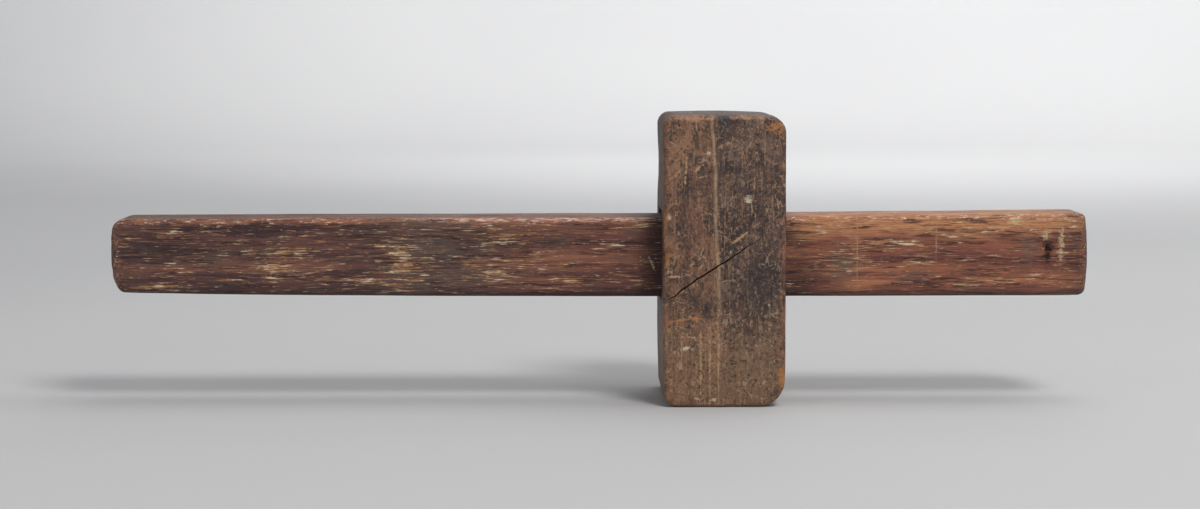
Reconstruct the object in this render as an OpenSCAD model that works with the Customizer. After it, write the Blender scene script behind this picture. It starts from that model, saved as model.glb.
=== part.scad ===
// Wooden marking gauge: a square beam with a steel scribing pin slides through a
// rectangular head, and a wooden thumbscrew behind the head locks it.
// +X runs along the beam towards the pin, -Y is the side that the pin points to,
// and +Z is up along the head. The origin is the centre of the head's lower end.
// All sizes are in millimetres.

/* [Head] */
// Thickness of the head along the beam
head_t = 31; // [28:0.5:34]
// Depth of the head from its front face to its back face
head_d = 46; // [44:0.5:52]
// Height of the head
head_h = 74; // [66:0.5:84]

/* [Beam] */
// Length of the beam
beam_l = 250; // [220:1:280]
// Length of beam that stands out of the working side at rest
beam_reach = 78.5; // [70:0.5:90]
// Height of the beam at its far end
beam_h_far = 20; // [19:0.1:20.5]
// Height of the beam at its pin end
beam_h_pin = 21.2; // [20.6:0.1:22]
// Depth of the beam
beam_d = 21; // [19:0.5:22]
// Distance from the bench to the underside of the beam
beam_z = 26.9; // [24:0.1:30]

/* [Scribing pin] */
// Diameter of the pin
pin_dia = 1.9; // [1.6:0.1:2.4]
// Distance from the pin to the end of the beam
pin_inset = 10.3; // [8:0.1:14]
// Height of the pin above the underside of the beam
pin_rise = 12.6; // [9:0.1:14]
// Length of the pin in front of the beam
pin_out = 4; // [3:0.5:6]

/* [Thumbscrew] */
// Diameter of the threaded shank
screw_dia = 12; // [10:0.5:13]
// Pitch of the thread
screw_pitch = 3; // [2:0.5:4]
// Diameter of the collar under the wing
collar_dia = 17; // [15:0.5:19]
// Width of the wing
wing_w = 22; // [18:0.5:24]
// Thickness of the wing
wing_t = 7; // [5:0.5:8]
// Turn of the wing from upright at rest, in degrees
wing_angle = 25; // [0:5:90]

/* [Shoe] */
// Width of the shoe along the beam
shoe_w = 20; // [16:0.5:22]
// Height of the shoe
shoe_h = 12; // [10:0.5:13]
// Thickness of the shoe
shoe_t = 3; // [2.5:0.1:3.2]
// How far the shoe draws back when the screw is loosened
shoe_travel = 2; // [1:0.1:2]

/* [Hidden] */

$fn = 64;
overlap = 1;          // extra length of a cutter past the face that it cuts
slide_gap = 0.3;      // gap between the beam and the mortise at the tightest place
shoe_gap = 0.2;       // gap round the shoe in its recess
touch_gap = 0.1;      // gap where the screw bears on the shoe and the shoe on the beam
thread_fit = 0.05;    // radial clearance of the shank in the head

// Corner radii of the head as seen from the front, and of its other edges
corner_top_far = 2.1;
corner_top_pin = 3.8;
corner_low_pin = 4.6;
corner_low_far = 2.3;
edge_r = 2;
beam_chamfer = 1.2;

beam_x1 = head_t / 2 + beam_reach;
beam_x0 = beam_x1 - beam_l;
pin_x = beam_x1 - pin_inset;
pin_z = beam_z + pin_rise;
pin_r = pin_dia / 2;
pin_point = 2.6;      // length of the tapered point
pin_tip_r = 0.2;
pin_back = beam_d / 2 - 1;

mortise_z = beam_z - slide_gap;
mortise_h = beam_h_pin + 2 * slide_gap;
mortise_d = beam_d + 2 * slide_gap;
lock_z = mortise_z + mortise_h / 2;

shoe_y = beam_d / 2 + touch_gap;
recess_y = shoe_y + shoe_t + shoe_travel + slide_gap;
screw_y = shoe_y + shoe_t + touch_gap;
screw_r = screw_dia / 2;
screw_tip = 1.2;      // length of the eased end of the shank
thread_showing = screw_pitch;
collar_y = head_d / 2 + thread_showing;
collar_t = 3.5;
wing_root = 1;        // how far the wing runs into the collar
wing_y = collar_y + collar_t - wing_root;
wing_l = 17.5;
wing_corner = 6;

// Rectangle from x0 to x1 and z0 to z1 with a radius of its own at each corner,
// r = [x0 z0, x1 z0, x1 z1, x0 z1]
module rounded_plate(x0, x1, z0, z1, r) {
    polygon([
        [x0 + r[0], z0], [x1 - r[1], z0], [x1, z0 + r[1]], [x1, z1 - r[2]],
        [x1 - r[2], z1], [x0 + r[3], z1], [x0, z1 - r[3]], [x0, z0 + r[0]]
    ]);
    translate([x0 + r[0], z0 + r[0]]) circle(r[0]);
    translate([x1 - r[1], z0 + r[1]]) circle(r[1]);
    translate([x1 - r[2], z1 - r[2]]) circle(r[2]);
    translate([x0 + r[3], z1 - r[3]]) circle(r[3]);
}

// The XZ outline of a child, extruded from y0 to y1
module extrude_y(y0, y1) {
    translate([0, y1, 0])
        rotate([90, 0, 0])
            linear_extrude(y1 - y0) children();
}

// A cylinder or cone along +Y that starts at (x, y, z)
module rod_y(x, y, z, length, r1, r2) {
    translate([x, y, z])
        rotate([-90, 0, 0])
            cylinder(h = length, r1 = r1, r2 = r2);
}

module head_block() {
    intersection() {
        extrude_y(-head_d / 2, head_d / 2)
            rounded_plate(-head_t / 2, head_t / 2, 0, head_h,
                [corner_low_far, corner_low_pin, corner_top_pin, corner_top_far]);
        translate([-head_t, 0, 0])
            rotate([90, 0, 90])
                linear_extrude(2 * head_t)
                    rounded_plate(-head_d / 2, head_d / 2, 0, head_h,
                        [edge_r, edge_r, edge_r, edge_r]);
    }
}

module head() {
    color("#5a4436")
    difference() {
        head_block();
        // through mortise for the beam
        translate([-head_t / 2 - overlap, -mortise_d / 2, mortise_z])
            cube([head_t + 2 * overlap, mortise_d, mortise_h]);
        // recess for the shoe in the back wall of the mortise
        translate([-shoe_w / 2 - shoe_gap, 0, lock_z - shoe_h / 2 - shoe_gap])
            cube([shoe_w + 2 * shoe_gap, recess_y, shoe_h + 2 * shoe_gap]);
        // hole for the thumbscrew
        rod_y(0, 0, lock_z, head_d / 2 + overlap, screw_r + thread_fit, screw_r + thread_fit);
    }
}

// One long edge of the beam eased at 45 degrees, along a line that climbs by rise
module edge_cutter(y, z, rise) {
    translate([beam_x0 - overlap, y, z])
        rotate([0, -atan(rise / beam_l), 0])
            rotate([45, 0, 0])
                translate([0, -beam_chamfer / sqrt(2), -beam_chamfer / sqrt(2)])
                    cube([beam_l + 2 * overlap, sqrt(2) * beam_chamfer, sqrt(2) * beam_chamfer]);
}

module beam() {
    taper = beam_h_pin - beam_h_far;
    end_r = 2;
    color("#6b4433")
    difference() {
        extrude_y(-beam_d / 2, beam_d / 2)
            polygon([
                [beam_x0 + end_r, beam_z], [beam_x1 - end_r, beam_z],
                [beam_x1, beam_z + end_r], [beam_x1, beam_z + beam_h_pin - end_r],
                [beam_x1 - end_r, beam_z + beam_h_pin],
                [beam_x0 + end_r, beam_z + beam_h_far],
                [beam_x0, beam_z + beam_h_far - end_r], [beam_x0, beam_z + end_r]
            ]);
        for (side = [-1, 1]) {
            edge_cutter(side * beam_d / 2, beam_z, 0);
            edge_cutter(side * beam_d / 2, beam_z + beam_h_far, taper);
        }
        // hole that holds the pin
        rod_y(pin_x, -beam_d / 2 - overlap, pin_z, beam_d + 2 * overlap, pin_r, pin_r);
    }
}

module scribing_pin() {
    front = -beam_d / 2 - pin_out;
    color("#3c3a38") {
        rod_y(pin_x, front, pin_z, pin_point, pin_tip_r, pin_r);
        rod_y(pin_x, front + pin_point, pin_z, pin_back - front - pin_point, pin_r, pin_r);
    }
}

module thumbscrew() {
    color("#7a5538") {
        rod_y(0, screw_y, lock_z, screw_tip, screw_r - screw_tip, screw_r);
        rod_y(0, screw_y + screw_tip, lock_z, collar_y - screw_y - screw_tip, screw_r, screw_r);
        rod_y(0, collar_y, lock_z, collar_t, collar_dia / 2, collar_dia / 2);
        wing();
    }
}

// Flat thumb wing with two round corners at its outer end
module wing() {
    translate([0, 0, lock_z])
        rotate([0, wing_angle, 0])
            translate([-wing_t / 2, wing_y, 0])
                rotate([90, 0, 90])
                    linear_extrude(wing_t)
                        rounded_plate(0, wing_l, -wing_w / 2, wing_w / 2,
                            [wing_corner / 2, wing_corner, wing_corner, wing_corner / 2]);
}

module shoe() {
    color("#8a6a48")
        translate([-shoe_w / 2, shoe_y, lock_z - shoe_h / 2])
            cube([shoe_w, shoe_t, shoe_h]);
}

head();
beam();
scribing_pin();
thumbscrew();
shoe();
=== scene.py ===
"""Looks for the wooden marking gauge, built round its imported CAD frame."""
import itertools
import math

import bmesh
import bpy
import numpy as np
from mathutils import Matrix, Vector


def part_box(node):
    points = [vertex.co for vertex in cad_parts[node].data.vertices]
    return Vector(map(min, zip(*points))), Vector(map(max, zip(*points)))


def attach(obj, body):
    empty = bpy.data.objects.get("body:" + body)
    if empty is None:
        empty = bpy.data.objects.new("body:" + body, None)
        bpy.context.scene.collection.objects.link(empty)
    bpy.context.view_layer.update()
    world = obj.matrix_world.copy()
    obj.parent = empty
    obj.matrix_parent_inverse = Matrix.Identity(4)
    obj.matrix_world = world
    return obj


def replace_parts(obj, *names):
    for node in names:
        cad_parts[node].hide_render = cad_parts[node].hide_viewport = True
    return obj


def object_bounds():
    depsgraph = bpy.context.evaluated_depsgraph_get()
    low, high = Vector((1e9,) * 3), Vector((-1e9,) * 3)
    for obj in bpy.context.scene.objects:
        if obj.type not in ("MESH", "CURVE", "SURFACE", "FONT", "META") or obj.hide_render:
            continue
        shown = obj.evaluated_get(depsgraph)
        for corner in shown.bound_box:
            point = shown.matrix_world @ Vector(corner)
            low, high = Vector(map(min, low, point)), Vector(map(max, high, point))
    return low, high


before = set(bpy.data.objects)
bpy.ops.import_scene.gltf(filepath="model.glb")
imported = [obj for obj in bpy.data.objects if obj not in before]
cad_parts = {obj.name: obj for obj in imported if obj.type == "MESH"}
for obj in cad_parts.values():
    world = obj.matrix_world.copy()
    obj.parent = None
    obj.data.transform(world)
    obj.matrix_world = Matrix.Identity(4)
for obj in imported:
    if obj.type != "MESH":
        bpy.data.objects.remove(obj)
CAD_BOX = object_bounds()
MM = 0.001          # shapes are worked out in millimetres and stored in metres


# ---------------------------------------------------------------- places from the frame

def box_mm(node):
    """Lowest and highest corner of a CAD node, in millimetres."""
    low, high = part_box(node)
    return np.array(low) / MM, np.array(high) / MM


HEAD_LO, HEAD_HI = box_mm("head")
BEAM_LO, BEAM_HI = box_mm("beam")
PIN_LO, PIN_HI = box_mm("scribing_pin")
SCREW_LO, SCREW_HI = box_mm("thumbscrew")
SHOE_LO, SHOE_HI = box_mm("shoe")
HEAD_FRONT, BEAM_FRONT = HEAD_LO[1], BEAM_LO[1]
PIN_X, PIN_Z = (PIN_LO[0] + PIN_HI[0]) / 2, (PIN_LO[2] + PIN_HI[2]) / 2
PIN_R = (PIN_HI[0] - PIN_LO[0]) / 2
LOCK_Z = (SHOE_LO[2] + SHOE_HI[2]) / 2      # height of the thumbscrew's axis

# Fits and details that the boxes don't give, in millimetres
BEAM_TAPER = 1.2        # how much lower the beam is at its far end than at its pin end
SLIDE_GAP = 0.3         # between the beam and the mortise
SHOE_GAP = 0.2          # round the shoe in its recess
RECESS_SPARE = 2.3      # depth of the recess behind the shoe: its travel and a gap
SCREW_HOLE_R = 6.05     # the shank is 6 mm in radius
PIN_HOLE_FIT = 0.06     # the hole is this much wider than the pin all round
SCREW_PITCH = 3.0
THREAD_R = 5.95         # radius at the crest of the thread
THREAD_DEPTH = 0.95
COLLAR_Y = HEAD_HI[1] + SCREW_PITCH         # where the screw's collar starts at rest
WING_TURN = math.radians(25)


# ---------------------------------------------------------------- numbers for rough surfaces

def lattice_noise(points, seed):
    """Smooth values from -1 to 1 that change over a distance of about 1.

    A fixed hash of each lattice corner stands in for a random number, so every run is the same.
    """
    cell = np.floor(points).astype(np.int64)
    part = points - cell
    part = part * part * (3 - 2 * part)
    total = np.zeros(len(points))
    for corner in itertools.product((0, 1), repeat=3):
        key = (cell + corner) @ np.array([73856093, 19349663, 83492791]) + seed * 40503
        key = (key ^ (key >> 13)) * 1274126177
        value = ((key ^ (key >> 16)) & 0xFFFF) / 0x7FFF - 1
        weight = np.prod(np.where(corner, part, 1 - part), axis=1)
        total += weight * value
    return total


def layered_noise(points, size, seed, layers=3):
    """Noise with finer and weaker layers. size is the coarsest layer's size along x, y and z."""
    total = np.zeros(len(points))
    for layer in range(layers):
        total += lattice_noise(points / np.array(size) * 2 ** layer, seed + layer) / 2 ** layer
    return total


def smooth_step(low, high, value):
    """0 up to low and 1 from high on, with a soft change between them. low may be the larger one."""
    part = np.clip((value - low) / (high - low), 0, 1)
    return part * part * (3 - 2 * part)


# ---------------------------------------------------------------- shapes

def box_skin(xs, ys, zs):
    """Points and quads of the closed skin of a box that is cut at the given x, y and z."""
    cuts = [np.asarray(c, float) for c in (xs, ys, zs)]
    corners, quads = [], []
    count = 0
    for axis, (a, b) in enumerate([(1, 2), (2, 0), (0, 1)]):
        rows, columns = len(cuts[a]), len(cuts[b])
        index = np.arange(rows * columns).reshape(rows, columns)
        ring = np.stack([index[:-1, :-1], index[1:, :-1], index[1:, 1:], index[:-1, 1:]], -1)
        for end in (0, -1):
            grid = np.zeros((rows, columns, 3))
            grid[..., a] = cuts[a][:, None]
            grid[..., b] = cuts[b][None, :]
            grid[..., axis] = cuts[axis][end]
            corners.append(grid.reshape(-1, 3))
            faces = ring.reshape(-1, 4) + count
            quads.append(faces if end else faces[:, ::-1])
            count += rows * columns
    points, where = np.unique(np.round(np.concatenate(corners), 5), axis=0, return_inverse=True)
    return points, where.ravel()[np.concatenate(quads)]


def even_cuts(low, high, step):
    """Evenly spaced places from low to high, about a step apart."""
    return np.linspace(low, high, int(round((high - low) / step)) + 1)


def slope(distance, points, reach=0.02):
    """Unit vectors along which the distance grows fastest."""
    rise = np.stack([distance(points + reach * e) - distance(points - reach * e) for e in np.eye(3)], 1)
    return rise / np.maximum(np.linalg.norm(rise, axis=1, keepdims=True), 1e-9)


def settle(points, distance, rounds=5):
    """Moves points onto the surface where the distance is zero."""
    for _ in range(rounds):
        points = points - distance(points)[:, None] * slope(distance, points)
    return points


def joined(a, b, radius):
    """Distance to what two shapes share, with a round edge where they meet."""
    a, b = a + radius, b + radius
    return np.minimum(np.maximum(a, b), 0) + np.hypot(np.maximum(a, 0), np.maximum(b, 0)) - radius


def dent(points, centre, reach, depth):
    """A soft hollow round a point. reach is its half-size along x, y and z."""
    away = (points - np.array(centre)) / np.array(reach)
    return depth * np.exp(-(away ** 2).sum(1))


def mesh_object(name, points, faces):
    """A new object in the scene from points in millimetres."""
    mesh = bpy.data.meshes.new(name)
    mesh.from_pydata((np.asarray(points) * MM).tolist(), [], [list(map(int, f)) for f in faces])
    mesh.validate()
    mesh.update()
    obj = bpy.data.objects.new(name, mesh)
    bpy.context.scene.collection.objects.link(obj)
    return obj


def mesh_points(obj):
    """An object's vertices in millimetres."""
    flat = np.zeros(len(obj.data.vertices) * 3)
    obj.data.vertices.foreach_get("co", flat)
    return flat.reshape(-1, 3) / MM


def cut_away(obj, *cutters):
    """Subtracts closed meshes from an object and deletes them."""
    for cutter in cutters:
        modifier = obj.modifiers.new("cut", "BOOLEAN")
        modifier.operation = "DIFFERENCE"
        modifier.solver = "EXACT"
        modifier.object = cutter
        graph = bpy.context.evaluated_depsgraph_get()
        result = bpy.data.meshes.new_from_object(obj.evaluated_get(graph))
        obj.modifiers.clear()
        obj.data = result
        bpy.data.objects.remove(cutter)
    obj.data.name = obj.name
    return obj


def smooth(obj, sharp_angle=38):
    """Smooth shading, apart from edges sharper than an angle."""
    obj.data.shade_smooth()
    obj.data.set_sharp_from_angle(angle=math.radians(sharp_angle))


def mask(obj, name, values):
    """Stores a number from 0 to 1 on each vertex for the material to read."""
    layer = obj.data.attributes.new(name, "FLOAT", "POINT")
    layer.data.foreach_set("value", np.clip(values, 0, 1).astype(np.float32))


def loft(name, rings):
    """A closed mesh through rings that all have the same number of points, capped at both ends."""
    count = len(rings[0])
    points = np.concatenate(rings)
    faces = []
    for ring in range(len(rings) - 1):
        for i in range(count):
            j = (i + 1) % count
            a, b = ring * count, (ring + 1) * count
            faces.append((a + i, a + j, b + j, b + i))
    faces.append(tuple(range(count))[::-1])
    faces.append(tuple(range(len(points) - count, len(points))))
    obj = mesh_object(name, points, faces)
    skin = bmesh.new()
    skin.from_mesh(obj.data)
    bmesh.ops.recalc_face_normals(skin, faces=skin.faces)
    skin.to_mesh(obj.data)
    skin.free()
    return obj


def around_y(y, half_x, half_z, power=2.0, centre=(0, 0), sides=96, twist=0.0):
    """One ring of points round the y axis. Power 2 makes an ellipse, and more makes it squarer."""
    angle = np.linspace(0, 2 * np.pi, sides, endpoint=False)
    c, s = np.cos(angle), np.sin(angle)
    x = half_x * np.sign(c) * np.abs(c) ** (2 / power)
    z = half_z * np.sign(s) * np.abs(s) ** (2 / power)
    ct, st = math.cos(twist), math.sin(twist)
    return np.stack([centre[0] + x * ct + z * st, np.full(sides, y), centre[1] - x * st + z * ct], 1)


# ---------------------------------------------------------------- head

# Ends of the ridge down the head's front, as x and z
RIDGE_TOP, RIDGE_LOW = (-3.0, 74.0), (-1.2, 24.0)

# Knocks and worn hollows in the head: place, half-size along x, y and z, and depth
HEAD_KNOCKS = (
    ((-15.5, HEAD_FRONT, 37.5), (2.2, 2.5, 2.0), 0.9),
    ((-15.5, HEAD_FRONT, 49.0), (1.6, 2.0, 3.0), 0.55),
    ((-7.0, HEAD_FRONT, 24.2), (2.2, 2.0, 0.7), 0.35),
    ((-9.5, HEAD_FRONT, 15.2), (1.4, 1.0, 0.7), 0.4),
    ((6.0, HEAD_FRONT, 52.6), (0.9, 1.0, 0.9), 0.4),
    ((11.5, HEAD_FRONT, 26.0), (0.6, 1.0, 0.5), 0.3),
    ((-4.5, HEAD_FRONT, 1.5), (1.2, 1.5, 0.7), 0.5),
    ((12.5, 0, 73.5), (3.0, 6.0, 2.0), 0.5),
    ((15.5, 14.0, 6.0), (2.0, 5.0, 5.0), 0.6),
    ((-15.5, 20.0, 60.0), (2.0, 3.0, 5.0), 0.6))

# The crack across the head's front, as x and z
CRACK = ((-14.8, 27.0), (-12.6, 28.3), (-8.4, 31.6), (-3.7, 34.6), (0.4, 36.9), (4.2, 39.6), (10.2, 43.6))
CRACK_HALF = 0.28       # half its width at the surface
CRACK_DEPTH = 2.6


def ridge_offset(points):
    """How far a point lies past the ridge down the head's front, along x."""
    down = (RIDGE_TOP[1] - points[:, 2]) / (RIDGE_TOP[1] - RIDGE_LOW[1])
    wander = 0.14 * np.sin(points[:, 2] / 4.1) + 0.1 * np.sin(points[:, 2] / 1.3)
    return points[:, 0] - (RIDGE_TOP[0] + (RIDGE_LOW[0] - RIDGE_TOP[0]) * down) - wander


def head_distance(points):
    """Distance out of the worn block, negative inside it."""
    x, y, z = points.T
    mid_z = (HEAD_LO[2] + HEAD_HI[2]) / 2
    top = z - HEAD_HI[2] + 0.0018 * (x + 2) ** 2 + 0.0007 * y ** 2
    low = HEAD_LO[2] - z + 0.0016 * (x + 3) ** 2
    far = HEAD_LO[0] - x + 0.35 * smooth_step(16, 0, z)
    near = x - HEAD_HI[0] + 0.2 * smooth_step(12, 0, z)
    corner = np.where(x < 0, np.where(z > mid_z, 3.0, 2.6), np.where(z > mid_z, 4.0, 6.0))
    outline = joined(np.maximum(far, near), np.maximum(top, low), corner)
    step_down = 0.3 * smooth_step(-0.1, 0.9, ridge_offset(points))
    faces = np.maximum(HEAD_LO[1] - y + step_down, y - HEAD_HI[1])
    edge = 1.2 + 0.3 * layered_noise(points, (9, 9, 9), 5, 2)
    swell = 0.06 * layered_noise(points, (14, 14, 20), 11, 2)
    return joined(outline, faces, edge) + 0.05 + swell


def mortise_cutter():
    """The square hole through the head, eased at both mouths."""
    half_y = (BEAM_HI[1] - BEAM_LO[1]) / 2 + SLIDE_GAP
    z0, z1 = BEAM_LO[2] - SLIDE_GAP, BEAM_HI[2] + SLIDE_GAP
    mouth = 0.6
    stations = [(HEAD_LO[0] + x, flare) for x, flare in ((-1.5, mouth), (0.3, mouth), (1.3, 0))]
    stations += [(HEAD_HI[0] + x, flare) for x, flare in ((-1.3, 0), (-0.3, mouth), (1.5, mouth))]
    rings = [np.array([
        (x, -half_y - flare, z0 - flare), (x, half_y + flare, z0 - flare),
        (x, half_y + flare, z1 + flare), (x, -half_y - flare, z1 + flare)]) for x, flare in stations]
    return loft("mortise_cutter", rings)


def recess_cutter():
    """The pocket for the shoe in the back wall of the mortise."""
    x0, x1 = SHOE_LO[0] - SHOE_GAP, SHOE_HI[0] + SHOE_GAP
    z0, z1 = SHOE_LO[2] - SHOE_GAP, SHOE_HI[2] + SHOE_GAP
    rings = [np.array([(x0, y, z0), (x0, y, z1), (x1, y, z1), (x1, y, z0)])
             for y in (BEAM_HI[1] - 1, SHOE_HI[1] + RECESS_SPARE)]
    return loft("recess_cutter", rings)


def screw_hole_cutter():
    """The hole for the thumbscrew, eased where it comes out at the back."""
    back = HEAD_HI[1]
    stations = ((SHOE_HI[1], 0), (back - 1.0, 0), (back - 0.4, 0.35), (back + 1.0, 1.6))
    rings = [around_y(y, SCREW_HOLE_R + flare, SCREW_HOLE_R + flare, centre=(0, LOCK_Z))
             for y, flare in stations]
    return loft("screw_hole_cutter", rings)


def crack_line(steps=60):
    """Points along the crack as x and z, with a little wander."""
    knots = np.array(CRACK)
    place = np.linspace(0, len(knots) - 1, steps)
    x = np.interp(place, range(len(knots)), knots[:, 0])
    z = np.interp(place, range(len(knots)), knots[:, 1])
    shake = layered_noise(np.stack([place * 3, 0 * place, 0 * place], 1), (1, 1, 1), 3, 2)
    return np.stack([x, z + 0.16 * shake], 1)


def crack_cutter():
    """A thin wedge that follows the crack, widest and deepest near its middle."""
    line = crack_line()
    along = np.gradient(line, axis=0)
    along /= np.linalg.norm(along, axis=1, keepdims=True)
    across = np.stack([-along[:, 1], along[:, 0]], 1)
    rings = []
    for i, ((x, z), (dx, dz)) in enumerate(zip(line, across)):
        share = i / (len(line) - 1)
        size = math.sin(math.pi * min(max(share, 0.02), 0.98)) ** 0.35
        half = CRACK_HALF * size
        rings.append(np.array([
            (x - dx * half, HEAD_FRONT - 0.8, z - dz * half),
            (x + dx * half, HEAD_FRONT - 0.8, z + dz * half),
            (x + dx * 0.1, HEAD_FRONT + CRACK_DEPTH * size, z + dz * 0.1 - 0.3)]))
    return loft("crack_cutter", rings)


def make_head():
    """The block with its worn edges, knocks, crack and holes."""
    xs = even_cuts(HEAD_LO[0], HEAD_HI[0], 0.38)
    ys = even_cuts(HEAD_LO[1], HEAD_HI[1], 0.8)
    zs = even_cuts(HEAD_LO[2], HEAD_HI[2], 0.38)
    points, quads = box_skin(xs, ys, zs)
    points = settle(points, head_distance)
    inward = -slope(head_distance, points)
    knocks = sum(dent(points, *knock) for knock in HEAD_KNOCKS)
    relief = 0.045 * layered_noise(points, (1.6, 1.6, 7.0), 21, 3)
    points = points + inward * (knocks + relief)[:, None]
    points = np.clip(points, HEAD_LO + 0.01, HEAD_HI - 0.01)
    head = mesh_object("worn_head", points, quads)
    cut_away(head, mortise_cutter(), recess_cutter(), screw_hole_cutter(), crack_cutter())
    smooth(head)
    paint_head_masks(head)
    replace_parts(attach(head, "head"), "head")
    return head


def line_distance(points, line):
    """Distance in the XZ plane from each point to a line of points."""
    best = np.full(len(points), 1e9)
    flat = points[:, [0, 2]]
    for a, b in zip(line[:-1], line[1:]):
        along = b - a
        share = np.clip(((flat - a) @ along) / (along @ along), 0, 1)
        best = np.minimum(best, np.linalg.norm(flat - a - share[:, None] * along, axis=1))
    return best


def paint_head_masks(head):
    """Stores where the head's material is worn, dark or cracked, and where painted highlight and painted
    shade go.
    """
    points = mesh_points(head)
    x, y, z = points.T
    # distances to the nearest face, the second nearest and the third
    gaps = np.sort(np.stack([
        np.minimum(x - HEAD_LO[0], HEAD_HI[0] - x),
        np.minimum(y - HEAD_LO[1], HEAD_HI[1] - y),
        np.minimum(z - HEAD_LO[2], HEAD_HI[2] - z)]), axis=0)
    shake = layered_noise(points, (4, 4, 4), 31, 3)
    front = smooth_step(HEAD_FRONT + 1.6, HEAD_FRONT + 1.0, y)
    near_crack = smooth_step(1.4, 0.5, line_distance(points, crack_line()))
    behind_front = y - HEAD_FRONT
    groove = smooth_step(0.5, 1.0, behind_front) * smooth_step(4, 3, behind_front)
    mask(head, "edge", smooth_step(2.2, 0.4, gaps[1] + 0.8 * shake))
    # inner: the mortise and holes, away from the outer faces, darkened as painted shade
    mask(head, "inner", smooth_step(1.2, 2.5, gaps[0]))
    # crack: the crack's inner walls, painted dark as shade
    mask(head, "crack", near_crack * groove * smooth_step(0.4, 1.2, gaps[1]))
    mask(head, "left", front * smooth_step(0.8, -0.8, ridge_offset(points)))
    # ridge: where the painted highlight on the ridge's worn crest goes
    beside_ridge = np.abs(ridge_offset(points) + 0.1)
    mask(head, "ridge", front * smooth_step(0.6, 0.1, beside_ridge) * smooth_step(20, 36, z))
    mask(head, "low", smooth_step(28, 8, z + 4 * shake))
    mask(head, "front", front)


# ---------------------------------------------------------------- beam

# Chips and dents in the beam: place, half-size along x, y and z, and depth
BEAM_KNOCKS = (
    ((-123.5, BEAM_FRONT, 47.0), (1.6, 2.0, 0.9), 0.8),
    ((BEAM_LO[0], BEAM_FRONT, 33.6), (1.2, 3.0, 1.0), 0.45),
    ((PIN_LO[0] - 1.2, BEAM_FRONT, 43.0), (1.6, 0.8, 1.8), 0.35),
    ((PIN_LO[0] + 1, BEAM_FRONT, PIN_LO[2] + 0.6), (1.6, 1.0, 1.8), 0.3),
    ((52.0, BEAM_FRONT, 32.0), (0.7, 1.0, 0.7), 0.7),
    ((16.8, BEAM_FRONT, BEAM_HI[2] - 1.6), (1.0, 2.0, 1.2), 0.6),
    ((60.0, BEAM_HI[1], BEAM_HI[2]), (7.0, 1.5, 1.2), 0.6),
    ((-70.0, BEAM_HI[1], BEAM_LO[2]), (9.0, 1.4, 1.4), 0.6))

# Places on the beam's front that are scuffed down to pale wood: x, z and the half-sizes along both
SCUFFS = (
    (-143, 29.7, 9, 1.1), (-112, 38.2, 9, 1.4), (-114, 34, 8, 2.0), (-90, 31, 7, 1.2), (-82, 36, 6, 6.5),
    (-62, 35, 5, 2.4), (-56, 41.5, 4.5, 1.8), (-57, 32.6, 7, 2), (-45, 34.3, 7, 1.3), (-29, 40.6, 6, 1),
    (-38, 31.3, 8, 1), (-21, 45, 4.5, 1.6), (27, 44.3, 4, 1.4), (75, 46.5, 4, 1.3), (68, 31, 9, 1.6),
    (44, 40.5, 12, 1.0), (32, 36, 6, 3), (50, 35.5, 5, 1))


def beam_distance(points):
    """Distance out of the worn stick, negative inside it. It bows and sags a little along its length."""
    x, y, z = points.T
    mid_x, mid_z = -20.0, (BEAM_LO[2] + BEAM_HI[2]) / 2
    along = (x - BEAM_LO[0]) / (BEAM_HI[0] - BEAM_LO[0])
    rise = np.where(x < mid_x, 0.66, 0.14) * ((x - mid_x) / 105) ** 2
    sag = 0.28 * np.exp(-((x - mid_x) / 60) ** 2)
    low = BEAM_LO[2] - z + rise
    top = z - BEAM_HI[2] + BEAM_TAPER * (1 - along) + sag
    heel = 0.1 * np.clip(BEAM_LO[2] + 7 - z, 0, None) ** 1.6
    far = BEAM_LO[0] - x + heel + 0.005 * (z - mid_z) ** 2
    near = x - BEAM_HI[0] + 0.006 * (z - mid_z) ** 2 + 0.0015 * y ** 2
    end_r = np.where(along < 0.5, np.where(z > mid_z, 3.2, 1.3), np.where(z > mid_z, 1.4, 1.9))
    profile = joined(np.maximum(far, near), np.maximum(low, top), end_r)
    faces = np.maximum(BEAM_LO[1] - y, y - BEAM_HI[1])
    near_end = smooth_step(8, 1, np.minimum(x - BEAM_LO[0], BEAM_HI[0] - x))
    edge = 1.5 + near_end + 0.35 * layered_noise(points, (22, 6, 6), 7, 2)
    swell = 0.05 * layered_noise(points, (40, 12, 12), 15, 2)
    return joined(profile, faces, edge) + 0.04 + swell


def make_beam():
    """The stick with its worn edges, chips and the hole for the pin."""
    xs = even_cuts(BEAM_LO[0], BEAM_HI[0], 0.55)
    ys = even_cuts(BEAM_LO[1], BEAM_HI[1], 0.8)
    zs = even_cuts(BEAM_LO[2], BEAM_HI[2], 0.42)
    points, quads = box_skin(xs, ys, zs)
    points = settle(points, beam_distance)
    inward = -slope(beam_distance, points)
    knocks = sum(dent(points, *knock) for knock in BEAM_KNOCKS)
    relief = 0.05 * layered_noise(points, (18.0, 1.2, 1.2), 41, 3)
    points = points + inward * (knocks + relief)[:, None]
    points = np.clip(points, BEAM_LO + 0.01, BEAM_HI - 0.01)
    beam = mesh_object("worn_beam", points, quads)
    radius = PIN_R + PIN_HOLE_FIT
    rings = [around_y(y, radius, radius, centre=(PIN_X, PIN_Z), sides=32)
             for y in (BEAM_LO[1] - 2, BEAM_HI[1] + 2)]
    cut_away(beam, loft("pin_hole_cutter", rings))
    smooth(beam)
    paint_beam_masks(beam)
    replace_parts(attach(beam, "beam"), "beam")
    return beam


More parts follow.
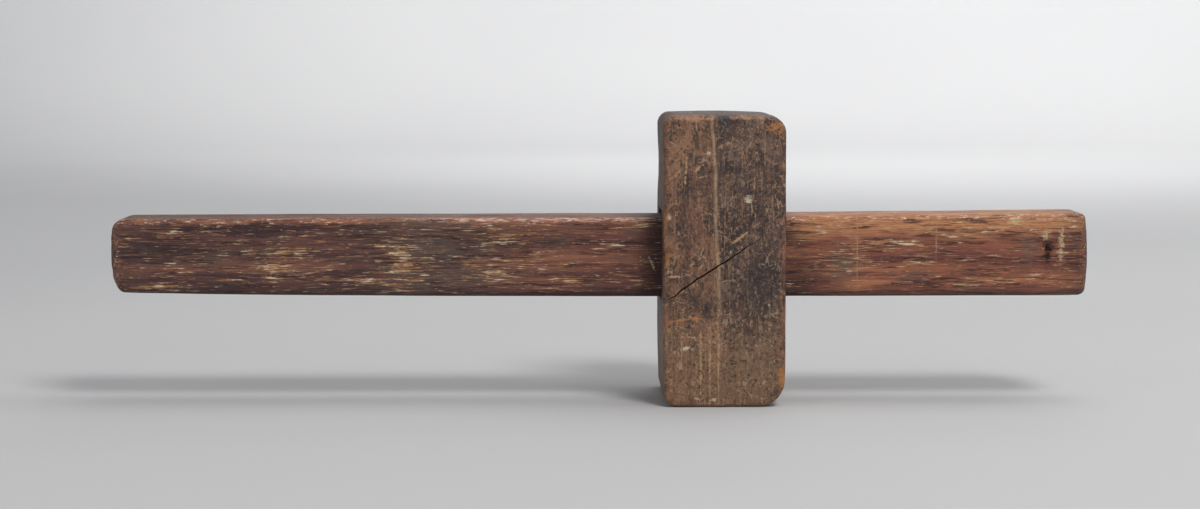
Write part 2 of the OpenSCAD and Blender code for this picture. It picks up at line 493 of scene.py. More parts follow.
def paint_beam_masks(beam):
    """Stores where the beam's material is worn, warm, dark or scuffed, and where painted highlights and
    painted shade go.
    """
    points = mesh_points(beam)
    x, y, z = points.T
    top = BEAM_HI[2] - BEAM_TAPER * (BEAM_HI[0] - x) / (BEAM_HI[0] - BEAM_LO[0])
    to_end = np.minimum(x - BEAM_LO[0], BEAM_HI[0] - x)
    shake = layered_noise(points, (10, 3, 3), 51, 3)
    inset = np.minimum(y - BEAM_LO[1], BEAM_HI[1] - y)
    top_edge = smooth_step(2.1, 0.7, top - z + 0.8 * shake)
    top_edge *= 1 - 0.8 * smooth_step(1.2, 2.8, inset + 0.5 * shake)
    ends = smooth_step(3.0, 0.3, to_end + 0.9 * shake)
    scuff = np.zeros(len(points))
    for at_x, at_z, half_x, half_z in SCUFFS:
        scuff = np.maximum(scuff, dent(points, (at_x, BEAM_FRONT, at_z), (half_x, 6, half_z), 1))
    # edge: the rounded edges, which are worn and also carry painted light
    mask(beam, "edge", np.maximum(top_edge, ends * 0.6))
    # low: the lower edge, darkened as painted shade and dirt
    mask(beam, "low", smooth_step(2.8, 0.8, z - BEAM_LO[2] + 0.8 * shake))
    red = 0.3 * smooth_step(-75, -45, x) + 0.12 * smooth_step(-135, -105, x)
    mask(beam, "warm", np.maximum(smooth_step(8, 26, x + 3 * shake), red))
    mask(beam, "high", smooth_step(7.0, 3.0, top - z + 1.8 * shake) * smooth_step(14, 22, x))
    # a dark stain low on the beam right of the head, a painted shadow of the head with darker wood beside
    # and under its left side, and darker wood towards both ends
    low_patch = smooth_step(34, 20, x + 3 * shake) * smooth_step(10, 15, x)
    low_patch *= smooth_step(39, 30, z + 1.5 * shake)
    shadow_and_dark_beside_head = smooth_step(-23, -16, x) * smooth_step(10, 0, x)
    end_patch = 0.6 * smooth_step(84, 93, x + 2 * shake) + 0.25 * smooth_step(-95, -120, x)
    # crest: where painted highlights glint along the top front edge, left of the head
    crest = smooth_step(1.6, 0.9, top - z) * smooth_step(1.6, 0.9, y - BEAM_FRONT)
    mask(beam, "crest", crest * smooth_step(-84, -62, x) * smooth_step(0, -14, x))
    mask(beam, "dark_patches_and_shade", np.maximum(np.maximum(low_patch, shadow_and_dark_beside_head), end_patch))
    mask(beam, "grey", np.exp(-((x + 73) / 17) ** 2))
    mask(beam, "scuff", scuff)
    mask(beam, "endgrain", smooth_step(1.2, 0.6, to_end))


# ---------------------------------------------------------------- pin and thumbscrew

def make_pin():
    """The steel spur, filed to a four-sided point."""
    radius = PIN_R * 0.98
    tip = PIN_LO[1]
    # y, share of the radius and squareness
    stations = (
        (tip + 0.02, 0.10, 2.6), (tip + 0.3, 0.2, 2.8), (tip + 1.2, 0.48, 3.2), (tip + 2.1, 0.78, 3.0),
        (tip + 2.8, 0.96, 2.3), (tip + 3.2, 1.0, 2.0), (tip + 6.0, 0.99, 2.0), (PIN_HI[1] - 0.3, 1.0, 2.0),
        (PIN_HI[1] - 0.02, 0.85, 2.0))
    rings = [around_y(y, radius * share, radius * share, power, (PIN_X, PIN_Z), sides=48, twist=0.3)
             for y, share, power in stations]
    pin = loft("filed_pin", rings)
    smooth(pin, 50)
    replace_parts(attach(pin, "beam"), "scribing_pin")
    return pin


SCREW_SIDES = 96


def thread_rings(y0, y1):
    """Rings of a round-crested right-hand thread about the screw's axis."""
    angle = np.linspace(0, 2 * np.pi, SCREW_SIDES, endpoint=False)
    rings = []
    for y in even_cuts(y0, y1, 0.2):
        turn = (y / SCREW_PITCH + angle / (2 * np.pi)) % 1
        # the wave is cut off at 1, which leaves the groove a flat bottom
        groove = np.clip(1.25 * (0.5 - 0.5 * np.cos(2 * np.pi * turn)), 0, 1)
        radius = THREAD_R - THREAD_DEPTH * groove
        rings.append(np.stack([radius * np.cos(angle), np.full(SCREW_SIDES, y),
                               LOCK_Z + radius * np.sin(angle)], 1))
    return rings


def wing_rings():
    """Rings of the turned collar and neck and of the flat wing, filled in between the stations."""
    y1 = SCREW_HI[1]
    # y, half-thickness, half-width and squareness
    stations = (
        (COLLAR_Y - 0.25, 5.2, 5.2, 2.0), (COLLAR_Y - 0.05, 7.2, 7.2, 2.0), (COLLAR_Y + 0.3, 8.1, 8.1, 2.0),
        (COLLAR_Y + 0.8, 8.4, 8.4, 2.0), (COLLAR_Y + 1.8, 8.4, 8.4, 2.0), (COLLAR_Y + 2.2, 8.0, 8.0, 2.0),
        (COLLAR_Y + 2.5, 7.3, 7.3, 2.0), (COLLAR_Y + 2.7, 6.4, 6.4, 2.0), (COLLAR_Y + 3.3, 5.2, 5.4, 2.0),
        (COLLAR_Y + 4.2, 4.1, 5.4, 2.3), (COLLAR_Y + 5.2, 3.5, 6.6, 3.0), (COLLAR_Y + 6.4, 3.2, 8.4, 3.8),
        (COLLAR_Y + 8.0, 3.1, 9.9, 4.4), (COLLAR_Y + 10.5, 3.1, 10.7, 4.6),
        (COLLAR_Y + 13.5, 3.0, 10.7, 4.6), (y1 - 3.4, 2.9, 10.0, 4.2), (y1 - 1.8, 2.7, 8.6, 3.8),
        (y1 - 0.8, 2.3, 7.0, 3.4), (y1 - 0.3, 1.7, 5.6, 3.0), (y1 - 0.1, 0.9, 4.0, 2.6))
    knots = np.array(stations)
    place = np.linspace(0, len(knots) - 1, 4 * len(knots))
    fine = np.stack([np.interp(place, range(len(knots)), knots[:, k]) for k in range(4)], 1)
    return [around_y(y, half_x, half_z, power, (0, LOCK_Z), SCREW_SIDES, WING_TURN)
            for y, half_x, half_z, power in fine]


def make_thumbscrew():
    """Turned shank, collar and neck, with the head filed flat into a thumb wing."""
    y0 = SCREW_LO[1]
    rings = [around_y(y0 + 0.02, 4.6, 4.6, centre=(0, LOCK_Z))]
    rings += thread_rings(y0 + 0.8, COLLAR_Y - 0.6) + wing_rings()
    points = np.concatenate(rings)
    wood = 0.06 * layered_noise(points, (3, 9, 3), 61, 3)
    axis_away = points - np.array([0, 0, LOCK_Z])
    axis_away[:, 1] = 0
    out = axis_away / np.maximum(np.linalg.norm(axis_away, axis=1, keepdims=True), 1e-6)
    points = points - out * (0.06 + wood)[:, None]
    screw = loft("turned_thumbscrew", np.split(points, len(rings)))
    smooth(screw, 55)
    paint_screw_masks(screw)
    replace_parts(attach(screw, "thumbscrew"), "thumbscrew")
    return screw


def paint_screw_masks(screw):
    """Stores where the thumbscrew is darker, in the thread's grooves and at the neck, and where it is
    rubbed.
    """
    x, y, z = mesh_points(screw).T
    from_axis = np.hypot(x, z - LOCK_Z)
    tip = SCREW_HI[1]
    mask(screw, "thread", smooth_step(5.7, 5.1, from_axis) * smooth_step(COLLAR_Y, COLLAR_Y - 0.3, y))
    mask(screw, "neck", np.exp(-((y - COLLAR_Y - 3.4) / 0.9) ** 2) * smooth_step(8, 6.5, from_axis))
    mask(screw, "rim", smooth_step(9.0, 10.4, from_axis) + smooth_step(tip - 1.2, tip - 0.3, y))


# ---------------------------------------------------------------- materials

class Shader:
    """A short way to write a node material. Textures read the piece's own coordinates in millimetres."""

    def __init__(self, name):
        self.material = bpy.data.materials.new(name)
        self.material.use_nodes = True
        self.tree = self.material.node_tree
        self.surface = self.tree.nodes["Principled BSDF"]
        place = self.tree.nodes.new("ShaderNodeTexCoord").outputs["Object"]
        self.place = self.stretched(place, (1 / MM, 1 / MM, 1 / MM))

    def node(self, kind, **settings):
        """A new node of this material with its settings."""
        made = self.tree.nodes.new(kind)
        for key, value in settings.items():
            setattr(made, key, value)
        return made

    def feed(self, socket, value):
        """Links a socket to an output, or sets it to a plain value."""
        if isinstance(value, bpy.types.NodeSocket):
            self.tree.links.new(value, socket)
        else:
            socket.default_value = value

    def stretched(self, vector, scale, offset=(0, 0, 0)):
        """Coordinates that are scaled and then moved."""
        made = self.node("ShaderNodeMapping")
        self.feed(made.inputs["Vector"], vector)
        made.inputs["Scale"].default_value = scale
        made.inputs["Location"].default_value = offset
        return made.outputs["Vector"]

    def noise(self, size, detail=4.0, rough=0.55, seed=0.0, twist=0.0):
        """Noise whose features are about size = (x, y, z) millimetres long."""
        made = self.node("ShaderNodeTexNoise")
        vector = self.stretched(self.place, tuple(1 / s for s in size), (seed, 2 * seed, 3 * seed))
        self.feed(made.inputs["Vector"], vector)
        made.inputs["Scale"].default_value = 1.0
        made.inputs["Detail"].default_value = detail
        made.inputs["Roughness"].default_value = rough
        made.inputs["Distortion"].default_value = twist
        return made.outputs["Fac"]

    def step(self, value, low, high, to_low=0.0, to_high=1.0):
        """Smooth change from one number to another as value goes from low to high."""
        made = self.node("ShaderNodeMapRange", interpolation_type="SMOOTHSTEP")
        for socket, v in zip(made.inputs, (value, low, high, to_low, to_high)):
            self.feed(socket, v)
        return made.outputs["Result"]

    def math(self, operation, a, b=0.0, c=0.0):
        """One Math node on up to three numbers."""
        made = self.node("ShaderNodeMath", operation=operation)
        for socket, v in zip(made.inputs, (a, b, c)):
            self.feed(socket, v)
        return made.outputs["Value"]

    def times(self, *values):
        """The product of two or more numbers."""
        total = values[0]
        for value in values[1:]:
            total = self.math("MULTIPLY", total, value)
        return total

    def layer(self, share, below, above):
        """Paints one colour over another. share is how much of the upper one shows."""
        made = self.node("ShaderNodeMix", data_type="RGBA", clamp_factor=True)
        self.feed(made.inputs["Factor"], share)
        self.feed(made.inputs["A"], below)
        self.feed(made.inputs["B"], above)
        return [s for s in made.outputs if s.type == "RGBA"][0]

    def masked(self, name):
        """A number that mask() stored on the vertices."""
        return self.node("ShaderNodeAttribute", attribute_name=name).outputs["Fac"]

    def spots(self, *places):
        """1 inside ragged ellipsoids. Each has a centre, its half-sizes and a turn about y in degrees."""
        nearest = None
        for centre, reach, turn in places:
            made = self.node("ShaderNodeMapping", vector_type="TEXTURE")
            self.feed(made.inputs["Vector"], self.place)
            made.inputs["Location"].default_value = centre
            made.inputs["Rotation"].default_value = (0, math.radians(turn), 0)
            made.inputs["Scale"].default_value = reach
            length = self.node("ShaderNodeVectorMath", operation="LENGTH")
            self.feed(length.inputs[0], made.outputs["Vector"])
            away = length.outputs["Value"]
            nearest = away if nearest is None else self.math("MINIMUM", nearest, away)
        ragged = self.math("MULTIPLY_ADD", self.noise((1.3, 1.3, 0.9), 4, 0.75, 9.0), 6.0, -3.0)
        return self.step(self.math("ADD", nearest, ragged), 1.1, 0.3)

    def painted(self, colour, marks):
        """Paints marks over a colour. Each has its strength, its screen colour and the spots it covers."""
        for strength, shade, places in marks:
            colour = self.layer(self.times(self.spots(*places), strength), colour, rgb(*shade))
        return colour

    def scratches(self, size, turn, width, seed):
        """Thin broken lines, about as long as size, leaning by turn degrees in the XZ plane."""
        turned = self.node("ShaderNodeMapping")
        self.feed(turned.inputs["Vector"], self.place)
        turned.inputs["Rotation"].default_value = (0, math.radians(turn), 0)
        made = self.node("ShaderNodeTexNoise")
        vector = self.stretched(turned.outputs["Vector"], tuple(1 / v for v in size), (seed, seed, seed))
        self.feed(made.inputs["Vector"], vector)
        made.inputs["Scale"].default_value = 1.0
        made.inputs["Detail"].default_value = 1.0
        level = self.math("ABSOLUTE", self.math("SUBTRACT", made.outputs["Fac"], 0.5))
        broken = self.step(self.noise((2.5, 2.5, 2.5), 3, 0.7, seed + 4), 0.52, 0.6)
        return self.times(self.step(level, width, 0.0), broken)

    def ramp(self, value, *stops):
        """A colour that changes with a number. Each stop is the number and its colour."""
        made = self.node("ShaderNodeValToRGB")
        self.feed(made.inputs["Fac"], value)
        bands = made.color_ramp.elements
        while len(bands) < len(stops):
            bands.new(1.0)
        for band, (at, colour) in zip(bands, stops):
            band.position = at
            band.color = colour
        return made.outputs["Color"]

    def bump(self, height, reach, strength=1.0, under=None):
        """A bumped normal on top of the normal under it. reach is the relief in millimetres."""
        made = self.node("ShaderNodeBump")
        made.inputs["Strength"].default_value = strength
        made.inputs["Distance"].default_value = reach * MM
        self.feed(made.inputs["Height"], height)
        if under is not None:
            self.feed(made.inputs["Normal"], under)
        return made.outputs["Normal"]

    def finish(self, obj, colour, roughness, normal, metallic=0.0, specular=0.5):
        """Feeds the surface and makes this the object's only material."""
        self.feed(self.surface.inputs["Base Color"], colour)
        self.feed(self.surface.inputs["Roughness"], roughness)
        self.feed(self.surface.inputs["Normal"], normal)
        self.surface.inputs["Metallic"].default_value = metallic
        self.surface.inputs["Specular IOR Level"].default_value = specular
        obj.data.materials.clear()
        obj.data.materials.append(self.material)


def rgb(red, green, blue):
    """A linear colour from the 0 to 255 numbers of a screen colour."""
    def linear(v):
        v /= 255
        return v / 12.92 if v <= 0.04045 else ((v + 0.055) / 1.055) ** 2.4
    return (linear(red), linear(green), linear(blue), 1.0)


# Marks on the beam's front: strength, screen colour and places with their half-sizes and turns
BEAM_MARKS = (
    # pale wood beside the pin, along the top edge and at the chips
    (0.65, (212, 188, 148), (
        ((PIN_X + 3.2, BEAM_FRONT, PIN_Z + 1.2), (0.7, 2, 4.6), 2),
        ((PIN_X - 0.6, BEAM_FRONT, PIN_Z + 3.2), (1.2, 2, 1.6), 20),
        ((PIN_X - 9, BEAM_FRONT, BEAM_HI[2] - 2.2), (1.8, 2, 0.5), 0),
        ((-123.5, BEAM_FRONT, 46.4), (1.4, 2, 0.6), 0),
        ((-18.2, BEAM_FRONT, 36.0), (0.3, 2, 2.4), -24))),
    # lines scribed across the beam
    (0.55, (190, 150, 116), (
        ((34.6, BEAM_FRONT, 38), (0.2, 2, 7.5), 0),
        ((54.8, BEAM_FRONT, 41.5), (0.2, 2, 5), 0))),
    # dull stains
    (0.5, (100, 86, 76), (
        ((51.7, BEAM_FRONT, 32.0), (1.2, 2, 1.9), 4),
        ((30.5, BEAM_FRONT, 35.0), (3.5, 2, 5.5), 0),
        ((PIN_X - 5, BEAM_FRONT, PIN_Z), (2.5, 2, 4.5), 0))),
    # a dark stain round the pin, and the pin's shadow painted below it
    (0.75, (38, 27, 25), (
        ((PIN_X - 0.2, BEAM_FRONT, PIN_Z + 0.2), (2.0, 2, 1.3), 10),
        ((PIN_X - 0.3, BEAM_FRONT, PIN_Z - 2.4), (0.8, 2, 2.6), 0))))


def beam_wood(s, streak, fibre):
    """Dark wood that is warmer beside the head, with its grain, orange edges that are worn and carry painted
    light, dark patches and a painted shadow beside the head.
    """
    broad = s.noise((50, 4, 4), 4, 0.6, 1.0)
    bloom = s.noise((12, 10, 5), 5, 0.65, 2.0)
    dark = s.ramp(broad, (0.36, rgb(60, 40, 43)), (0.5, rgb(94, 61, 57)), (0.64, rgb(126, 84, 70)))
    warm = s.ramp(broad, (0.36, rgb(104, 57, 50)), (0.5, rgb(146, 86, 66)), (0.64, rgb(178, 116, 82)))
    colour = s.layer(s.masked("warm"), dark, warm)
    grey = s.math("MAXIMUM", s.masked("grey"), s.step(bloom, 0.5, 0.66, 0.0, 0.7))
    colour = s.layer(s.times(grey, s.step(bloom, 0.34, 0.56), 0.7), colour, rgb(94, 82, 72))
    high = s.times(s.masked("high"), s.step(fibre, 0.36, 0.58, 0.25, 0.95))
    colour = s.layer(high, colour, rgb(212, 150, 102))
    # orange along the rounded edges: worn wood, with painted light where the rounding catches it
    edge = s.times(s.masked("edge"), s.step(s.noise((6, 1.2, 1.2), 5, 0.72, 7.0), 0.38, 0.6))
    colour = s.layer(s.times(edge, 0.85), colour, rgb(178, 112, 76))
    colour = s.layer(s.step(streak, 0.5, 0.6, 0.0, 0.8), colour, rgb(44, 28, 31))
    colour = s.layer(s.step(fibre, 0.55, 0.67, 0.0, 0.7), colour, rgb(176, 122, 88))
    # dark stain, painted shadow beside the head and darker ends, broken up by the streaks
    dark_patches_and_shade = s.times(s.masked("dark_patches_and_shade"), s.step(streak, 0.34, 0.5, 0.95, 0.7))
    return s.layer(dark_patches_and_shade, colour, rgb(48, 31, 34))


def fleck_level(s):
    """High where the beam is chipped in pale flecks, which lie in groups and in the scuffs."""
    fleck = s.noise((6.5, 0.48, 0.48), 5, 0.68, 5.0, 0.25)
    group = s.noise((20, 4, 2.6), 4, 0.65, 6.0)
    level = s.math("ADD", fleck, s.step(group, 0.44, 0.66, 0.0, 0.07))
    return s.math("ADD", level, s.times(s.masked("scuff"), 0.062))


def beam_flecks(s, colour, level):
    """Pale flecks, thin pale lines, specks and the light caught along the worn edges."""
    tone = s.ramp(s.noise((3, 0.9, 0.9), 3, 0.6, 8.0), (0.4, rgb(158, 108, 70)), (0.52, rgb(198, 158, 112)),
                  (0.66, rgb(234, 214, 180)))
    colour = s.layer(s.step(level, 0.64, 0.675, 0.0, 0.95), colour, tone)
    thin = s.math("ADD", s.noise((5.5, 0.33, 0.33), 5, 0.68, 11.0, 0.4), s.times(s.masked("scuff"), 0.105))
    colour = s.layer(s.step(thin, 0.61, 0.645, 0.0, 0.95), colour, tone)
    # painted highlights: pale-pink glints along the worn edges and the top front edge
    shine = s.times(s.masked("edge"), s.step(s.noise((2.2, 0.5, 0.5), 4, 0.7, 13.0), 0.56, 0.63))
    crest = s.times(s.masked("crest"), s.step(s.noise((2.6, 0.4, 0.4), 4, 0.7, 15.0), 0.47, 0.58, 0.0, 0.85))
    colour = s.layer(s.times(s.math("MAXIMUM", shine, crest), 0.9), colour, rgb(240, 206, 188))
    speck = s.noise((0.9, 0.7, 0.7), 3, 0.6, 9.5)
    return s.layer(s.step(speck, 0.69, 0.75, 0.0, 0.8), colour, rgb(206, 176, 140))


def beam_material(beam):
    """Red-brown wood, dark to the left of the head and orange to its right."""
    s = Shader("beam_wood")
    streak = s.noise((11, 0.72, 0.72), 6, 0.74, 3.0, 0.35)
    fibre = s.noise((5, 0.4, 0.4), 4, 0.7, 4.0, 0.3)
    level = fleck_level(s)
    colour = beam_flecks(s, beam_wood(s, streak, fibre), level)
    # painted shade and dirt, darker along the beam's lower edge
    colour = s.layer(s.times(s.masked("low"), 0.7), colour, rgb(50, 35, 37))
    colour = s.painted(colour, BEAM_MARKS)
    rings = s.noise((1.4, 5, 1.6), 4, 0.7, 10.0)
    end = s.ramp(rings, (0.4, rgb(52, 36, 34)), (0.6, rgb(98, 70, 56)))
    colour = s.layer(s.times(s.masked("endgrain"), 0.7), colour, end)
    normal = s.bump(streak, 0.3, 0.9)
    normal = s.bump(fibre, 0.12, 0.7, normal)
    normal = s.bump(s.math("MULTIPLY", level, -1.0), 0.16, 0.6, normal)
    s.finish(beam, colour, s.step(streak, 0.35, 0.65, 0.42, 0.7), normal, specular=0.4)


# Marks on the head's front: strength, screen colour and places with their half-sizes and turns
HEAD_MARKS = (
    # dark blots
    (0.6, (46, 40, 42), (
        ((-5.6, HEAD_FRONT, 57), (2.2, 2, 5.5), 8), ((-9.8, HEAD_FRONT, 55), (0.8, 2, 5), 0),
        ((-7, HEAD_FRONT, 27), (3.5, 2, 2.2), -20), ((-14, HEAD_FRONT, 45), (1.1, 2, 2.2), 0),
        ((9, HEAD_FRONT, 31), (4.5, 2, 9), 0))),
    # long nicks
    (0.75, (202, 160, 124), (
        ((-12.6, HEAD_FRONT, 33.1), (2.4, 2, 0.28), 0), ((-8.4, HEAD_FRONT, 17.8), (2.4, 2, 0.26), 0),
        ((-6.6, HEAD_FRONT, 60.5), (1.6, 2, 0.3), -42), ((-5.6, HEAD_FRONT, 58.2), (1.4, 2, 0.26), -22),
        ((4.6, HEAD_FRONT, 43.5), (3.4, 2, 0.3), -38), ((-9.9, HEAD_FRONT, 59), (0.3, 2, 4), 4))),
    # pale chips
    (0.85, (206, 192, 168), (
        ((5.9, HEAD_FRONT, 52.5), (0.9, 2, 0.9), 0), ((-3.9, HEAD_FRONT, 64.3), (0.5, 2, 0.6), 0),
        ((-14.1, HEAD_FRONT, 48.0), (0.6, 2, 0.6), 0), ((11.4, HEAD_FRONT, 26.0), (0.5, 2, 0.5), 0),
        ((-9.3, HEAD_FRONT, 15.1), (1.3, 2, 0.6), -8), ((-6.6, HEAD_FRONT, 2.2), (0.8, 2, 0.4), 0),
        ((-2.6, HEAD_FRONT, 2.0), (0.9, 2, 0.4), 0))),
    # orange places worn at the edges
    (0.75, (186, 124, 70), (
        ((-15.0, HEAD_FRONT, 37.8), (1.6, 3, 1.6), 0), ((-6.9, HEAD_FRONT, 22.5), (1.6, 2, 0.7), 0),
        ((-11.5, HEAD_FRONT, 22.0), (3.2, 2, 0.35), -12), ((-15.2, HEAD_FRONT, 48.0), (0.9, 3, 3.2), 0),
        ((14.8, HEAD_FRONT, 7.5), (1.2, 3, 4.0), -18), ((12.8, HEAD_FRONT, 70.5), (2.2, 3, 1.6), 45))),
    # rubbed upper edge, with a painted highlight along it
    (0.7, (184, 138, 108), (
        ((-8, HEAD_FRONT, 72.9), (5.5, 3, 0.8), 0), ((4, HEAD_FRONT, 73.1), (6.5, 3, 0.6), 0))),
    # blue-black spot at the upper edge
    (1.0, (52, 56, 62), (((-0.4, HEAD_FRONT, 72.6), (1.9, 2, 1.6), 0),)))


def head_wood(s, stain, mottle, fibre):
    """Dark brown wood, redder left of the ridge, with its stains, grain and worn edges."""
    broad = s.noise((8, 8, 16), 4, 0.6, 1.5)
    crumb = s.noise((0.62, 0.62, 0.8), 3, 0.7, 14.0)
    brown = s.ramp(broad, (0.36, rgb(60, 46, 44)), (0.5, rgb(86, 67, 60)), (0.64, rgb(114, 90, 77)))
    red = s.ramp(broad, (0.36, rgb(88, 60, 50)), (0.5, rgb(118, 84, 66)), (0.64, rgb(146, 108, 82)))
    colour = s.layer(s.masked("left"), brown, red)
    colour = s.layer(s.step(stain, 0.49, 0.6, 0.0, 0.85), colour, rgb(50, 40, 40))
    colour = s.layer(s.times(s.masked("low"), s.step(stain, 0.34, 0.6, 0.2, 0.6)), colour, rgb(154, 118, 86))
    colour = s.layer(s.step(mottle, 0.55, 0.66, 0.0, 0.75), colour, rgb(160, 116, 82))
    colour = s.layer(s.step(mottle, 0.46, 0.37, 0.0, 0.65), colour, rgb(42, 31, 30))
    colour = s.layer(s.step(fibre, 0.55, 0.67, 0.0, 0.6), colour, rgb(168, 134, 104))
    colour = s.layer(s.step(crumb, 0.45, 0.36, 0.0, 0.85), colour, rgb(34, 25, 25))
    colour = s.layer(s.step(crumb, 0.58, 0.68, 0.0, 0.65), colour, rgb(178, 138, 104))
    rust = s.noise((3.0, 3.0, 3.6), 4, 0.7, 6.5)
    colour = s.layer(s.step(rust, 0.6, 0.72, 0.0, 0.6), colour, rgb(150, 92, 56))
    edge = s.times(s.masked("edge"), s.step(s.noise((5, 5, 7), 4, 0.7, 5.5), 0.48, 0.62))
    colour = s.layer(s.times(edge, 0.8), colour, rgb(150, 100, 70))
    return s.layer(s.times(s.masked("edge"), s.step(rust, 0.5, 0.36), 0.6), colour, rgb(58, 42, 38))


def head_scratches(s):
    """Thin scratches in five directions, strongest on the front."""
    lines = s.scratches((1.8, 3, 14), 6, 0.03, 1.0)
    # length along x, y and z, lean in degrees and width
    leaning = (((3.0, 3, 12), 62, 0.016), ((2.6, 3, 10), -38, 0.018), ((2.2, 3, 7), 84, 0.018),
               ((2.4, 3, 8), 28, 0.018))
    for seed, (size, turn, width) in enumerate(leaning, 2):
        lines = s.math("MAXIMUM", lines, s.scratches(size, turn, width, seed))
    return s.times(lines, s.math("MULTIPLY_ADD", s.masked("front"), 0.75, 0.25))


def head_material(head):
    """Dark mottled wood with scratches, a pale ridge with a painted highlight, marks of use and painted
    shade in the crack and holes.
    """
    s = Shader("head_wood")
    stain = s.noise((3.4, 3.4, 5.4), 5, 0.7, 2.5, 0.5)
    mottle = s.noise((1.2, 1.2, 1.8), 5, 0.78, 3.5, 0.4)
    fibre = s.noise((0.6, 0.6, 7), 4, 0.7, 4.5, 0.2)
    lines = head_scratches(s)
    colour = head_wood(s, stain, mottle, fibre)
    colour = s.layer(s.times(lines, 0.72), colour, rgb(184, 150, 118))
    speck = s.noise((0.8, 0.8, 0.9), 3, 0.6, 7.5)
    colour = s.layer(s.step(speck, 0.67, 0.74, 0.0, 0.9), colour, rgb(198, 168, 132))
    # pale worn crest of the ridge, with a painted highlight along it
    ridge_wear_and_highlight = s.step(s.noise((1, 1, 3), 4, 0.7, 8.5), 0.38, 0.58, 0.3, 0.85)
    colour = s.layer(s.times(s.masked("ridge"), ridge_wear_and_highlight), colour, rgb(186, 156, 120))
    veins = s.spots(*[((x, HEAD_FRONT, 12.5), (0.28, 2, 11), 0) for x in (-6.0, -3.7, -1.5)])
    colour = s.layer(s.times(veins, 0.7), colour, rgb(190, 156, 116))
    colour = s.painted(colour, HEAD_MARKS)
    # painted shade, near black, deep in the crack
    colour = s.layer(s.masked("crack"), colour, rgb(14, 10, 9))
    # painted shade inside the mortise and holes
    colour = s.layer(s.times(s.masked("inner"), 0.4), colour, rgb(60, 44, 36))
    normal = s.bump(stain, 0.35, 0.8)
    normal = s.bump(mottle, 0.22, 0.9, normal)
    normal = s.bump(fibre, 0.07, 0.6, normal)
    normal = s.bump(s.math("MULTIPLY", lines, -1.0), 0.06, 0.8, normal)
    s.finish(head, colour, s.step(mottle, 0.3, 0.7, 0.42, 0.72), normal, specular=0.45)


def pin_material(pin):
    """Dull steel with a little rust."""
    s = Shader("pin_steel")
    rust = s.noise((0.5, 0.9, 0.5), 5, 0.7, 1.0)
    colour = s.ramp(rust, (0.4, rgb(96, 92, 88)), (0.55, rgb(70, 58, 50)), (0.68, rgb(92, 56, 36)))
    normal = s.bump(rust, 0.05, 0.7)
    s.finish(pin, colour, s.step(rust, 0.4, 0.65, 0.35, 0.8), normal, 0.8)


def screw_material(screw):
    """Brown turned wood with its grain along the screw, darker in the thread's grooves and at the neck."""
    s = Shader("screw_wood")
    broad = s.noise((2.5, 22, 2.5), 4, 0.6, 1.0, 0.3)
    fibre = s.noise((0.55, 9, 0.55), 6, 0.72, 2.0, 0.2)
    pores = s.noise((0.35, 2.4, 0.35), 3, 0.6, 3.0)
    stain = s.noise((4, 4, 4), 5, 0.7, 4.0)
    colour = s.ramp(broad, (0.36, rgb(78, 50, 37)), (0.5, rgb(112, 75, 52)), (0.64, rgb(146, 101, 69)))
    colour = s.layer(s.step(fibre, 0.49, 0.59, 0.0, 0.85), colour, rgb(58, 38, 30))
    colour = s.layer(s.step(pores, 0.6, 0.68, 0.0, 0.8), colour, rgb(38, 26, 22))
    colour = s.layer(s.step(stain, 0.5, 0.66, 0.0, 0.35), colour, rgb(54, 39, 33))
    # darker in the thread's grooves and at the neck
    groove_darkening = s.math("MAXIMUM", s.masked("neck"), s.masked("thread"))
    colour = s.layer(s.times(groove_darkening, 0.75), colour, rgb(36, 25, 21))
    colour = s.layer(s.times(s.masked("rim"), s.step(fibre, 0.6, 0.42), 0.6), colour, rgb(170, 122, 84))
    normal = s.bump(fibre, 0.16, 0.8)
    normal = s.bump(s.math("MULTIPLY", pores, -1.0), 0.08, 0.7, normal)
    s.finish(screw, colour, s.step(fibre, 0.3, 0.7, 0.4, 0.62), normal, specular=0.4)


def shoe_material(shoe):
    """Plain pale wood, for the CAD node itself."""
    s = Shader("shoe_wood")
    fibre = s.noise((7, 0.5, 0.5), 5, 0.65, 1.0)
    colour = s.ramp(fibre, (0.35, rgb(108, 80, 56)), (0.5, rgb(146, 112, 78)), (0.65, rgb(172, 138, 98)))
    s.finish(shoe, colour, s.step(fibre, 0.3, 0.7, 0.55, 0.75), s.bump(fibre, 0.12, 0.7))


# ---------------------------------------------------------------- stage, light and camera

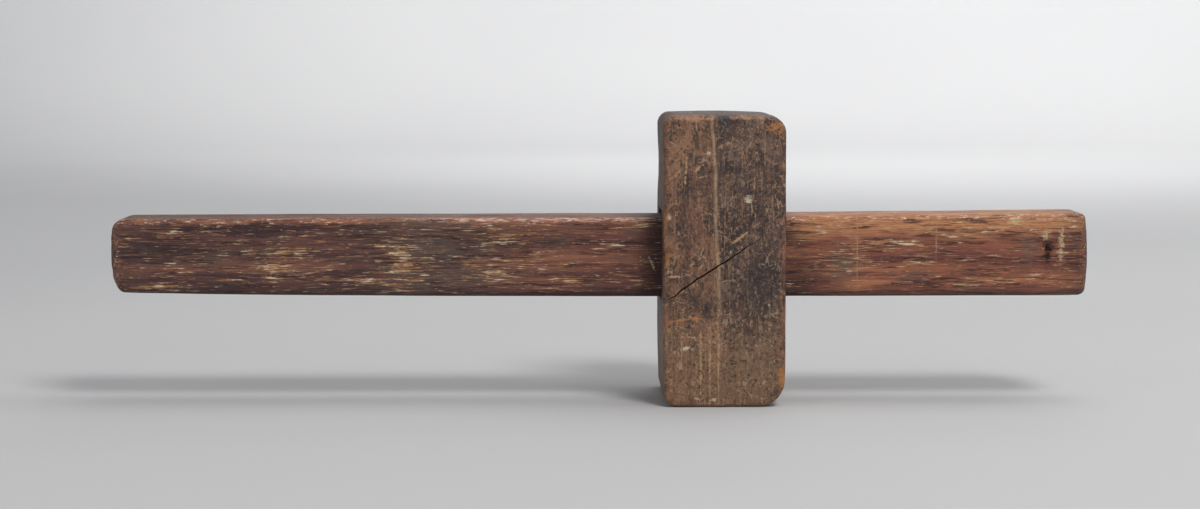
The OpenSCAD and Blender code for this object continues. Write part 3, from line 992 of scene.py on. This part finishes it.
def make_stage():
    """A round pale sweep: a flat floor that curves up into a wall all round."""
    # in metres: radius of the flat floor, radius of the bend and height of the wall
    flat, bend, wall = 1.66, 0.8, 1.4
    bend_steps, sides = 32, 128
    profile = [(0.2, 0.0), (0.6, 0.0), (1.2, 0.0)]
    for step in range(bend_steps + 1):
        a = math.pi / 2 * step / bend_steps
        profile.append((flat + bend * math.sin(a), bend * (1 - math.cos(a))))
    profile.append((flat + bend, wall))
    angle = np.linspace(0, 2 * np.pi, sides, endpoint=False)
    points, faces = [(0, 0, 0)], []
    for r, z in profile:
        points += [(r * math.cos(a), r * math.sin(a), z) for a in angle]
    for j in range(sides):
        faces.append((0, 1 + j, 1 + (j + 1) % sides))
    for i in range(len(profile) - 1):
        inner, outer = 1 + i * sides, 1 + (i + 1) * sides
        for j in range(sides):
            k = (j + 1) % sides
            faces.append((inner + j, outer + j, outer + k, inner + k))
    stage = mesh_object("sweep", np.array(points) / MM, faces)
    stage.data.shade_smooth()
    s = Shader("sweep_paper")
    tone = s.noise((600, 600, 600), 2, 0.5, 1.0)
    colour = s.ramp(tone, (0.3, (0.60, 0.60, 0.605, 1)), (0.7, (0.64, 0.64, 0.64, 1)))
    grit = s.noise((0.8, 0.8, 0.8), 3, 0.6, 2.0)
    s.finish(stage, colour, s.step(grit, 0.3, 0.7, 0.8, 0.9), s.bump(grit, 0.05, 0.3), specular=0.2)


def aim_light(light, place, target):
    """Puts a light at one place, in metres, so that it shines towards another and isn't seen itself."""
    obj = bpy.data.objects.new(light.name, light)
    obj.location = place
    obj.rotation_mode = "QUATERNION"
    obj.rotation_quaternion = (Vector(target) - Vector(place)).to_track_quat("-Z", "Y")
    obj.visible_camera = False
    bpy.context.scene.collection.objects.link(obj)


def soft_light(name, place, target, size, power, colour=(1, 1, 1)):
    """A round soft box that shines from one place towards another."""
    light = bpy.data.lights.new(name, "AREA")
    light.shape = "DISK"
    light.size = size
    light.energy = power
    light.color = colour
    aim_light(light, place, target)


def pool_light(name, place, target, cone, power):
    """A lamp that throws a soft-edged pool of light."""
    light = bpy.data.lights.new(name, "SPOT")
    light.spot_size = math.radians(cone)
    light.spot_blend = 1.0
    light.shadow_soft_size = 0.15
    light.energy = power
    aim_light(light, place, target)


def make_lights():
    """A key from the front right, a weak fill, and washes that lift the sweep behind and around."""
    soft_light("key", (0.35, -0.75, 0.95), (0, 0, 0.03), 0.42, 7.5, (1.0, 0.985, 0.96))
    soft_light("fill", (-0.9, -0.9, 0.7), (0, 0, 0.03), 0.9, 1.5)
    soft_light("wash", (0.6, 0.55, 1.4), (0.55, 1.0, 0.0), 1.6, 10.5)
    soft_light("far_wash", (0.4, 1.75, 1.1), (0.35, 1.85, 0.1), 1.2, 5.5)
    pool_light("backdrop", (0.2, -0.3, 0.9), (0.15, 2.0, 0.25), 50, 152.0)
    for name, turn in (("right_wash", 0), ("left_wash", 180), ("front_wash", 270)):
        x, y = math.cos(math.radians(turn)), math.sin(math.radians(turn))
        soft_light(name, (1.1 * x, 1.1 * y, 0.9), (2.1 * x, 2.1 * y, 0.5), 0.6, 6.0)
    world = bpy.data.worlds.new("studio")
    world.use_nodes = True
    world.node_tree.nodes["Background"].inputs["Color"].default_value = (0.9, 0.93, 1.0, 1)
    world.node_tree.nodes["Background"].inputs["Strength"].default_value = 0.2
    bpy.context.scene.world = world
    bpy.context.scene.view_settings.view_transform = "Standard"


def make_camera():
    """Looks at the middle of the gauge from a little above and a little towards the beam's far end."""
    low, high = CAD_BOX
    target = Vector(((low.x + high.x) / 2, 0, (low.z + high.z) / 2))
    distance, above, aside = 0.766, math.radians(4.32), math.radians(0.91)
    level = math.cos(above)
    forward = Vector((math.sin(aside) * level, math.cos(aside) * level, -math.sin(above)))
    camera = bpy.data.objects.new("camera", bpy.data.cameras.new("camera"))
    camera.data.lens = 88.8
    camera.data.sensor_width = 36
    camera.location = target - forward * distance
    camera.rotation_mode = "QUATERNION"
    camera.rotation_quaternion = forward.to_track_quat("-Z", "Y")
    bpy.context.scene.collection.objects.link(camera)
    bpy.context.scene.camera = camera


# ---------------------------------------------------------------- put together

make_camera()
make_stage()
make_lights()
beam_material(make_beam())
head_material(make_head())
pin_material(make_pin())
screw_material(make_thumbscrew())
shoe_material(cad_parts["shoe"])
